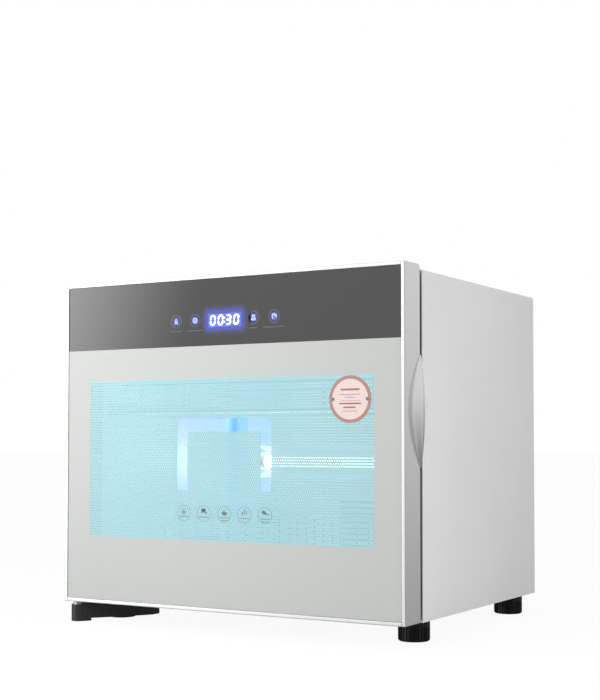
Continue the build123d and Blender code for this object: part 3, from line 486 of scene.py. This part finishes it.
def lit(name, colour, strength):
    """Something that shines, a little uneven as lit digits are."""
    material, tree, shader = finish(name, Base_Color=colour, Emission_Strength=strength)
    patch = noise(tree, place(tree), 700, 1.0)
    dim = toned(colour, 0.8)
    wire(tree, shade(tree, remap(tree, patch, 0.3, 0.7, 0, 1), dim, colour), shader, "Emission Color")
    return material


def ink(name, colour, roughness=0.35):
    """Printed ink with a slightly broken edge to its density."""
    material, tree, shader = finish(name, Roughness=roughness)
    grain = noise(tree, place(tree), 1800, 2.0)
    pale = toned(colour, 1.12)
    wire(tree, shade(tree, remap(tree, grain, 0.35, 0.65, 0, 1), colour, pale), shader, "Base Color")
    return material


X_AXIS, Z_AXIS = 0, 2
SATIN = shown(234, 234, 235)
RAIL_EDGE = 1.4
FINISHES = {
    "rail_aluminium": brushed_metal("rail_upright", SATIN, 0.34, Z_AXIS, edge=RAIL_EDGE),
    "rail_across": brushed_metal("rail_across", SATIN, 0.34, X_AXIS, edge=RAIL_EDGE),
    "grip_chrome": chrome("grip_chrome", shown(236, 236, 238), 0.24),
    "clear_glass": clear_glass("clear_glass", (0.93, 0.97, 0.96, 1)),
    "shell_paint": powder_coat("shell_paint", shown(214, 214, 215)),
    # The liner and air grille: the lamp's light painted on as a glow.
    "liner": chamber_steel_painted_glow("liner"),
    # The lamp's sockets and caps: the lamp's light painted on as a glow.
    "lit_socket": moulded_painted_glow("lit_socket", shown(226, 228, 228), (0.80, 0.93, 1.0, 1), 0.55),
    "lit_cap": moulded_painted_glow("lit_cap", shown(200, 205, 196), (0.86, 1.0, 0.84, 1), 0.5),
    "stainless": brushed_metal("stainless", shown(222, 224, 228), 0.34, X_AXIS),
    "zinc_steel": zinc("zinc_steel", shown(205, 207, 210)),
    # The rack wires and heater: the lamp's light painted on them as a glow.
    "chrome_wire": chrome("lit_wire", shown(232, 233, 236), 0.12, 0.35),
    "hinge_black": moulded("hinge_black", shown(36, 36, 37), 0.34),
    "black_plastic": moulded("black_plastic", shown(12, 12, 13), 0.42),
    "white_plastic": moulded("white_plastic", shown(226, 226, 222), 0.42),
    "grey_rubber": rubber("grey_rubber", shown(66, 67, 69)),
    "reflector": reflector_painted_glow("reflector", shown(168, 173, 180)),
    "lamp_glass": lit_tube("lamp_glass"),
    "circuit_board": circuit("circuit_board"),
    "display": moulded("display_case", shown(18, 20, 34), 0.2),
    "fan_black": moulded("fan_black", shown(40, 40, 42), 0.5),
}
SILVER = back_print("silver_print", shown(158, 160, 157), 0.05, 0.4)
SMOKE = back_print("smoked_print", shown(18, 18, 18), 0.12, 1.0, 1.75, 0.5)
# The film's cyan is the chamber's light painted into its colour.
FILM = dotted_film_painted_light("window_film", shown(128, 164, 168))
PANE = clear_glass("window_glass", (0.97, 0.995, 0.99, 1))
GREY_INK = ink("grey_ink", shown(78, 86, 88))
FAINT_INK = ink("faint_ink", shown(92, 92, 94))
LABEL_RED = ink("label_red", shown(150, 98, 88))
LABEL_PALE = ink("label_pale", shown(180, 165, 162))
LABEL_GREY = ink("label_grey", shown(92, 89, 89))
LABEL_RULE = ink("label_rule", shown(150, 88, 80))
DISPLAY_LIT = lit("display_lit", (0.022, 0.045, 0.50, 1), 1.0)
DIGIT_BLOOM = lit("digit_bloom", (0.20, 0.24, 0.90, 1), 1.0)
DIGIT_LIT = lit("digit_lit", (0.80, 0.84, 1.0, 1), 1.1)
KEY_LIT = lit("key_lit", (0.30, 0.36, 0.90, 1), 1.0)
SMOKE_INK = ink("smoke_ink", shown(68, 68, 69))

# CAD nodes whose finish isn't their slot's.
OWN_FINISH = {
    "door_rail_top": "rail_across",
    "door_rail_bottom": "rail_across",
    "liner": "liner",
    "lamp_sockets": "lit_socket",
    "tube_caps": "lit_cap",
    "lower_hinge_bracket": "hinge_black",
    "air_grille": "liner",
    "ptc_heater": "chrome_wire",
}


def dress_frame():
    """Gives every CAD node the finish of its slot."""
    for part in frame["record"]["subparts"]:
        node = frame["nodes"][part["node"]]
        slot = OWN_FINISH.get(part["node"], part["material_slot"])
        node.data.materials.clear()
        node.data.materials.append(FINISHES.get(slot, SILVER))


# ---------------------------------------------------------------- outlines


def arc(x, z, radius, start, end, steps=8):
    """Points of an arc round (x, z), from start to end in degrees."""
    turn = [math.radians(start + (end - start) * i / steps) for i in range(steps + 1)]
    return [(x + radius * math.cos(a), z + radius * math.sin(a)) for a in turn]


def ring(x, z, radius, steps=72):
    """A whole circle."""
    return arc(x, z, radius, 0, 360, steps)[:-1]


def rounded(left, foot, right, top, radius):
    """A rectangle with round corners."""
    corners = ((right, top, 0), (left, top, 90), (left, foot, 180), (right, foot, 270))
    points = []
    for x, z, start in corners:
        centre_x = x - radius if x == right else x + radius
        centre_z = z - radius if z == top else z + radius
        points += arc(centre_x, centre_z, radius, start, start + 90)
    return points


def box(left, foot, right, top):
    """A rectangle with sharp corners."""
    return [(left, foot), (right, foot), (right, top), (left, top)]


def stroke(start, end, width):
    """A straight line with round ends."""
    angle = math.degrees(math.atan2(end[1] - start[1], end[0] - start[0]))
    first = arc(*start, width / 2, angle + 90, angle + 270, 5)
    return first + arc(*end, width / 2, angle - 90, angle + 90, 5)


def bow(x, z, radius, start, end, width):
    """A curved line: part of a ring."""
    outer = arc(x, z, radius + width / 2, start, end, 16)
    return outer + arc(x, z, radius - width / 2, end, start, 16)


def drop(x, z, size):
    """A water drop, its point up."""
    return arc(x, z - size * 0.25, size * 0.62, 155, 385, 24) + [(x, z + size)]


def arch():
    """The clear arch in the window's film: two legs under a bar, round at its upper corners."""
    left, right, top, corner = ARCH_OUTER
    inner_left, inner_right, inner_top, inner_corner = ARCH_INNER
    outer = [(right, ARCH_FOOT)] + arc(right - corner, top - corner, corner, 0, 90)
    outer += arc(left + corner, top - corner, corner, 90, 180) + [(left, ARCH_FOOT)]
    inner = [(inner_left, ARCH_FOOT)]
    inner += arc(inner_left + inner_corner, inner_top - inner_corner, inner_corner, 180, 90)
    inner += arc(inner_right - inner_corner, inner_top - inner_corner, inner_corner, 90, 0)
    return outer + inner + [(inner_right, ARCH_FOOT)]


def plates(name, shapes, front, back, material, body="door"):
    """Flat pieces facing the front, all one object. Each shape is an outline and its holes."""
    mesh = bmesh.new()
    for outline, *holes in shapes:
        loops = [outline, *holes]
        rims = [[mesh.verts.new(at(x, y, z)) for loop in loops for x, z in loop] for y in (front, back)]
        flat = [[Vector((x, z, 0)) for x, z in loop] for loop in loops]
        for a, b, c in tessellate_polygon(flat):
            mesh.faces.new([rims[0][i] for i in (a, b, c)])
            mesh.faces.new([rims[1][i] for i in (c, b, a)])
        start = 0
        for loop in loops:
            for i in range(len(loop)):
                a, b = start + i, start + (i + 1) % len(loop)
                mesh.faces.new([rims[0][a], rims[0][b], rims[1][b], rims[1][a]])
            start += len(loop)
    bmesh.ops.recalc_face_normals(mesh, faces=mesh.faces)
    data = bpy.data.meshes.new(name)
    mesh.to_mesh(data)
    mesh.free()
    data.materials.append(material)
    piece = bpy.data.objects.new(name, data)
    bpy.context.scene.collection.objects.link(piece)
    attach(piece, body)
    return piece


# ---------------------------------------------------------------- the door's glass


def front_glass():
    """The glass in its printed fields: silver round the window, smoked above, clear at the window."""
    half = GLASS_WIDTH / 2
    window = box(WINDOW_LEFT, WINDOW_FOOT, WINDOW_RIGHT, WINDOW_TOP)
    field = box(-half, GLASS_FOOT, half, BAND_FOOT)
    silver = plates("glass_field", [(field, window)], GLASS_FRONT, GLASS_BACK, SILVER)
    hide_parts("front_glass")
    lens = rounded(DISPLAY_LEFT, DISPLAY_FOOT, DISPLAY_RIGHT, DISPLAY_TOP, DISPLAY_CORNER)
    band = box(-half, BAND_FOOT, half, GLASS_TOP)
    plates("glass_band", [(band, lens)], GLASS_FRONT, GLASS_BACK, SMOKE)
    plates("window_film", [(window, arch())], GLASS_FRONT, FILM_BACK, FILM)
    plates("window_pane", [(window,)], FILM_BACK + PANE_GAP, GLASS_BACK, PANE)


# ---------------------------------------------------------------- display and keys

DIGIT_WIDTH, DIGIT_HEIGHT, DIGIT_STROKE, DIGIT_SLANT = 7.4, 11.6, 1.8, 0.07
DIGIT_GAP, DIGIT_BLEED = 0.12, 0.55
DIGIT_PLACES = (-15.6, -5.2, 5.2, 15.6)
DIGITS = "0030"
SEGMENTS = {"0": "abcdef", "3": "abcdg"}
COLON_SPREAD, COLON_SIZE = 2.2, 0.75


def segment(letter, bleed):
    """One of a digit's seven bars, about the digit's middle, swollen by bleed."""
    half_width = (DIGIT_WIDTH - DIGIT_STROKE) / 2
    half_height = (DIGIT_HEIGHT - DIGIT_STROKE) / 2
    thick = DIGIT_STROKE / 2 + bleed
    if letter in "adg":
        level = {"a": half_height, "g": 0, "d": -half_height}[letter]
        end = half_width - DIGIT_GAP
        tips = [(-end, level), (end, level)]
        inner = [(-end + thick, level), (end - thick, level)]
        sides = [(0, thick), (0, -thick)]
    else:
        across = -half_width if letter in "ef" else half_width
        low = 0 if letter in "bf" else -half_height
        tips = [(across, low + DIGIT_GAP), (across, low + half_height - DIGIT_GAP)]
        inner = [(across, low + DIGIT_GAP + thick), (across, low + half_height - DIGIT_GAP - thick)]
        sides = [(-thick, 0), (thick, 0)]
    (a, b), (c, d) = inner, sides
    points = [tips[0], (a[0] + c[0], a[1] + c[1]), (b[0] + c[0], b[1] + c[1]), tips[1]]
    return points + [(b[0] + d[0], b[1] + d[1]), (a[0] + d[0], a[1] + d[1])]


def display():
    """The clock behind the smoked band: lit ground, digits, and the light that spills round them."""
    middle = (DISPLAY_LEFT + DISPLAY_RIGHT) / 2
    level = (DISPLAY_FOOT + DISPLAY_TOP) / 2
    lens = rounded(DISPLAY_LEFT, DISPLAY_FOOT, DISPLAY_RIGHT, DISPLAY_TOP, DISPLAY_CORNER)
    plates("display_ground", [(lens,)], GLASS_FRONT + 0.25, GLASS_BACK, DISPLAY_LIT)
    layers = (("bloom", DIGIT_BLEED, 0.15, DIGIT_BLOOM), ("digits", 0.0, 0.05, DIGIT_LIT))
    for name, bleed, depth, light in layers:
        bars = []
        for digit, x in zip(DIGITS, DIGIT_PLACES):
            for letter in SEGMENTS[digit]:
                bar = segment(letter, bleed)
                bars.append(([(middle + x + p + q * DIGIT_SLANT, level + q) for p, q in bar],))
        for side in (-1, 1):
            bars.append((ring(middle, level + side * COLON_SPREAD, COLON_SIZE + bleed, 16),))
        front = GLASS_FRONT + depth
        plates(f"display_{name}", bars, front, front + 0.1, light)
    half = ((DISPLAY_RIGHT - DISPLAY_LEFT) / 2 - 1, (DISPLAY_TOP - DISPLAY_FOOT) / 2 - 1)
    blue, reach = (0.10, 0.12, 0.85, 1), DISPLAY_REACH
    spill = glow("display_glow", blue, 0.24, (middle, level), half, reach)
    low, high = (DISPLAY_LEFT - reach, DISPLAY_FOOT - reach), (DISPLAY_RIGHT + reach, DISPLAY_TOP + reach)
    area = rounded(*low, *high, 8)
    plates("display_halo", [(area,)], PRINT_FRONT, PRINT_FRONT + 0.01, spill)


def key_marks(x, z):
    """Four signs for the keys: drying, clock face, steamer and timer."""
    drying = [(drop(x, z + 0.6, 2.9), drop(x, z + 0.7, 1.7))]
    drying += [(ring(x + side * 1.5, z - 2.6, 0.6, 16),) for side in (-1, 1)]
    face = [(ring(x, z, 3.1, 40), ring(x, z, 2.3, 40))]
    face += [(stroke((x - 0.8, z - rise), (x + 0.8, z + rise), 0.6),) for rise in (1.0, -1.0)]
    pot = rounded(x - 2.6, z - 3.1, x + 2.6, z - 0.3, 0.9)
    steamer = [(pot, rounded(x - 1.6, z - 2.3, x + 1.6, z - 1.1, 0.5))]
    steamer += [(stroke((x + p, z + 0.7), (x + p, z + 2.8), 0.8),) for p in (-1.5, 0.0, 1.5)]
    timer = [(bow(x, z, 2.5, -35, 250, 0.9),), (stroke((x, z), (x + 1.9, z + 1.9), 0.8),)]
    for angle in range(0, 360, 45):
        a = math.radians(angle)
        timer.append((ring(x + 3.3 * math.cos(a), z + 3.3 * math.sin(a), 0.35, 12),))
    return drying, face, steamer, timer


def dashes(x, z, width, thick, step):
    """A plain printed row: short bars of uneven length."""
    bars, place_at, count = [], x - width / 2, 0
    while place_at < x + width / 2 - 0.8:
        length = min(step * (0.55 + 0.2 * (count % 3)), x + width / 2 - place_at)
        bars.append((stroke((place_at, z), (place_at + length, z), thick),))
        place_at += length + step * 0.4
        count += 1
    return bars


def keys():
    """Touch keys on the band: a thin ring, a lit sign with its halo, and a plain row under each."""
    rings, rows = [], []
    halo_front, blue = PRINT_FRONT - 0.02, (0.10, 0.12, 0.9, 1)
    for number, (x, width) in enumerate(zip(KEY_PLACES, KEY_ROWS), 1):
        rings.append((ring(x, KEY_LEVEL, KEY_RING), ring(x, KEY_LEVEL, KEY_RING - KEY_LINE)))
        rows += dashes(x, KEY_LEVEL - KEY_ROW_DROP, width, 1.1, 3.0)
        sign = key_marks(x, KEY_LEVEL)[number - 1]
        plates(f"key_sign_{number}", sign, PRINT_FRONT, GLASS_FRONT, KEY_LIT)
        spill = glow(f"key_glow_{number}", blue, 0.16, (x, KEY_LEVEL), (2.2, 2.2), 5.0)
        halo = ring(x, KEY_LEVEL, KEY_HALO, 40)
        plates(f"key_halo_{number}", [(halo,)], halo_front, halo_front + 0.01, spill)
    plates("key_rings", rings, PRINT_FRONT, GLASS_FRONT, FAINT_INK)
    plates("key_rows", rows, PRINT_FRONT, GLASS_FRONT, SMOKE_INK)


# ---------------------------------------------------------------- prints on the window


def turned(points, x, z, angle):
    """The outline turned about (x, z) by an angle in degrees."""
    c, d = math.cos(math.radians(angle)), math.sin(math.radians(angle))
    return [(x + (p - x) * c - (q - z) * d, z + (p - x) * d + (q - z) * c) for p, q in points]


def tumbler(x, z, size, angle):
    """A drinking glass, wider at its rim."""
    outline = [(x - 0.55 * size, z - size), (x + 0.55 * size, z - size), (x + 0.9 * size, z + size)]
    return (turned([*outline, (x - 0.9 * size, z + size)], x, z, angle),)


def badge_marks(x, z):
    """Five kitchen signs for the window: drop, glasses, bowl, steam and ladle."""
    water = [(ring(x, z + 2.0, 3.9, 40), ring(x, z + 2.0, 3.5, 40)), (drop(x, z + 1.6, 2.6),)]
    cups = ((-1.6, 3.0, 2.3, -12), (0.9, 3.4, 2.3, 14), (3.3, 0.4, 1.2, 8))
    glasses = [tumbler(x + p, z + q, size, angle) for p, q, size, angle in cups]
    bowl = [(arc(x, z + 2.2, 3.7, 180, 360, 18),), (stroke((x - 0.6, z + 2.4), (x + 3.6, z + 6.6), 0.6),)]
    bowl.append((stroke((x - 1.8, z + 2.4), (x - 0.2, z + 4.6), 0.6),))
    steam = []
    for place_at, low, high in ((-2.6, 0.0, 3.4), (0.0, 0.6, 6.4), (2.6, 0.0, 3.8)):
        third = (high - low) / 3
        corners = [(x + place_at + p, z + low + third * i) for i, p in enumerate((0.5, -0.6, 0.6, -0.3))]
        steam += [(stroke(start, end, 0.85),) for start, end in zip(corners, corners[1:])]
    scoop = (x - 1.2, z + 3.2)
    oval = [(scoop[0] + p * 1.5, scoop[1] + q) for p, q in ring(0, 0, 2.0, 28)]
    ladle = [(turned(oval, *scoop, -28),)]
    ladle.append((stroke((x + 0.6, z + 2.4), (x + 5.2, z + 0.6), 1.1),))
    return water, glasses, bowl, steam, ladle


def badges():
    """A row of thin rings in the window, each with a sign and one or two plain printed rows."""
    shapes = []
    for number, (x, rows) in enumerate(zip(BADGE_PLACES, BADGE_ROWS)):
        shapes.append((ring(x, BADGE_LEVEL, BADGE_RING), ring(x, BADGE_LEVEL, BADGE_RING - BADGE_LINE)))
        shapes += badge_marks(x, BADGE_LEVEL)[number]
        for row in range(rows):
            shapes += dashes(x, BADGE_LEVEL - 3.9 - 2.9 * row, 12.5 - 4.0 * row, 0.8, 2.0)
    plates("window_badges", shapes, PRINT_FRONT, GLASS_FRONT, GREY_INK)


def label():
    """A round sticker at the window's upper corner: rim, pale middle, two dots, a rule and plain rows."""
    x, z = LABEL_X, LABEL_Z
    inner = LABEL_RADIUS - LABEL_RIM
    rim = [(ring(x, z, LABEL_RADIUS, 96), ring(x, z, inner, 96))]
    plates("label_rim", rim, LABEL_FRONT, GLASS_FRONT, LABEL_RED)
    edges = (LABEL_RADIUS, inner + LABEL_LINE)
    lines = [(ring(x, z, edge, 96), ring(x, z, edge - LABEL_LINE, 96)) for edge in edges]
    plates("label_lines", lines, LABEL_FRONT - 0.02, LABEL_FRONT, LABEL_GREY)
    plates("label_middle", [(ring(x, z, inner, 96),)], LABEL_FRONT, GLASS_FRONT, LABEL_PALE)
    dots = [(ring(x + side * (inner - 1.0), z, 2.0, 32),) for side in (-1, 1)]
    plates("label_dots", dots, LABEL_FRONT - 0.03, LABEL_FRONT, LABEL_GREY)
    red_rows, grey_rows = [], []
    for rise, width, thick, step in ((10.2, 21, 2.2, 3.6), (-4.6, 25, 1.8, 2.6), (-8.6, 15, 1.8, 2.6)):
        red_rows += dashes(x, z + rise, width, thick, step)
    red_rows += [(stroke((x - 11.5, z - 1.6), (x + 11.5, z - 1.6), 0.4),)]
    for rise, width in ((4.9, 25), (2.0, 12), (-12.6, 17)):
        grey_rows += dashes(x, z + rise, width, 0.7, 2.0)
    plates("label_red_rows", red_rows, LABEL_FRONT - 0.02, LABEL_FRONT, LABEL_RULE)
    plates("label_grey_rows", grey_rows, LABEL_FRONT - 0.02, LABEL_FRONT, LABEL_GREY)


# ---------------------------------------------------------------- light, floor and camera


def lobe(tree, direction, azimuth, elevation, inner, outer, strength, tall=1.0):
    """A soft patch of light, azimuth degrees from the front to the right, tall times as high as wide."""
    inputs = {0: direction, 1: (1, 1, 1 / tall)}
    squeezed = add(tree, "ShaderNodeVectorMath", inputs, operation="MULTIPLY")
    unit = add(tree, "ShaderNodeVectorMath", {0: squeezed.outputs[0]}, operation="NORMALIZE").outputs[0]
    a, e = math.radians(azimuth), math.radians(elevation / tall)
    aim = (math.sin(a) * math.cos(e), -math.cos(a) * math.cos(e), math.sin(e))
    facing = add(tree, "ShaderNodeVectorMath", {0: unit, 1: aim}, operation="DOT_PRODUCT").outputs["Value"]
    edge, full = math.cos(math.radians(outer)), math.cos(math.radians(inner))
    return remap(tree, facing, edge, full, 0.0, strength, smooth=True)


def studio():
    """Soft studio light: a surround that is darker low down, and tall soft lights left and overhead."""
    world = bpy.data.worlds.new("studio")
    bpy.context.scene.world = world
    world.use_nodes = True
    tree = world.node_tree
    tree.nodes.clear()
    direction = add(tree, "ShaderNodeTexCoord").outputs["Generated"]
    height = add(tree, "ShaderNodeSeparateXYZ", {0: direction}).outputs["Z"]
    low = remap(tree, height, -0.16, 0.16, 0.20, 0.43, smooth=True)
    high = remap(tree, height, 0.12, 0.6, 0.0, 0.27, smooth=True)
    level = sum_of(tree, "ADD", low, high)
    for patch in LOBES:
        level = sum_of(tree, "ADD", level, lobe(tree, direction, *patch))
    around = add(tree, "ShaderNodeBackground", {"Strength": level})
    white = add(tree, "ShaderNodeBackground", {"Color": (1, 1, 1, 1), "Strength": 1.0})
    seen = add(tree, "ShaderNodeLightPath").outputs["Is Camera Ray"]
    both = add(tree, "ShaderNodeMixShader", {0: seen, 1: around.outputs[0], 2: white.outputs[0]})
    out = add(tree, "ShaderNodeOutputWorld")
    tree.links.new(both.outputs[0], out.inputs["Surface"])


def hang(light, place_at, turn):
    """A lamp that neither the camera nor a reflection shows."""
    lamp = bpy.data.objects.new(light.name, light)
    lamp.location = place_at
    lamp.rotation_euler = turn
    lamp.visible_camera = False
    lamp.visible_glossy = False
    bpy.context.scene.collection.objects.link(lamp)
    return lamp


def soft_light(name, place_at, aim, size, energy):
    """A square lamp that points at aim."""
    light = bpy.data.lights.new(name, "AREA")
    light.size = size
    light.energy = energy
    hang(light, place_at, (Vector(aim) - Vector(place_at)).to_track_quat("-Z", "Y").to_euler())


def floor():
    """A plain pale floor that keeps a light shadow under the cabinet."""
    material, tree, shader = finish("floor", Roughness=0.9)
    shader.inputs["Specular IOR Level"].default_value = 0.1
    cloud = noise(tree, place(tree), 1.5, 2.0)
    wire(tree, shade(tree, cloud, (0.80, 0.80, 0.80, 1), (0.82, 0.82, 0.82, 1)), shader, "Base Color")
    white = add(tree, "ShaderNodeEmission", {"Color": (1, 1, 1, 1), "Strength": 1.0})
    seen = add(tree, "ShaderNodeLightPath").outputs["Is Camera Ray"]
    share = sum_of(tree, "MULTIPLY", seen, FLOOR_WHITENESS)
    both = add(tree, "ShaderNodeMixShader", {0: share, 1: shader.outputs[0], 2: white.outputs[0]})
    wire(tree, both.outputs[0], tree.nodes["Material Output"], "Surface")
    data = bpy.data.meshes.new("floor")
    corners = [(x * FLOOR_HALF, y * FLOOR_HALF, 0) for x, y in ((-1, -1), (1, -1), (1, 1), (-1, 1))]
    data.from_pydata(corners, [], [(0, 1, 2, 3)])
    data.materials.append(material)
    piece = bpy.data.objects.new("floor", data)
    piece.visible_glossy = False
    bpy.context.scene.collection.objects.link(piece)


def chamber_light():
    """The lamp's light in the chamber, thrown forward from the reflector's mouth."""
    low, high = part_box("uv_tube")
    light = bpy.data.lights.new("chamber_light", "AREA")
    light.shape = "RECTANGLE"
    light.size = (high.x - low.x) * 0.9
    light.size_y = (high.z - low.z) * 1.5
    light.energy = CHAMBER_LIGHT_ENERGY
    light.color = CHAMBER_LIGHT_COLOUR
    before_tube = ((low.x + high.x) / 2, low.y - 0.012, (low.z + high.z) / 2)
    lamp = hang(light, before_tube, (math.radians(-90), 0, 0))
    lamp.parent = frame["bodies"]["cabinet"]


def camera():
    """The photograph's camera, found by fitting the cabinet's edges."""
    data = bpy.data.cameras.new("camera")
    data.sensor_width = 36
    data.lens = 68.906
    data.shift_y = 0.0657
    body = bpy.data.objects.new("camera", data)
    body.location = (0.8271, -1.4206, 0.2148)
    body.rotation_euler = (math.radians(91.918), 0, math.radians(30.574))
    bpy.context.scene.collection.objects.link(body)
    bpy.context.scene.camera = body


dress_frame()
front_glass()
display()
keys()
badges()
label()
studio()
for soft in SOFT_LIGHTS:
    soft_light(*soft)
floor()
chamber_light()
camera()
bpy.context.scene.view_settings.view_transform = "Standard"
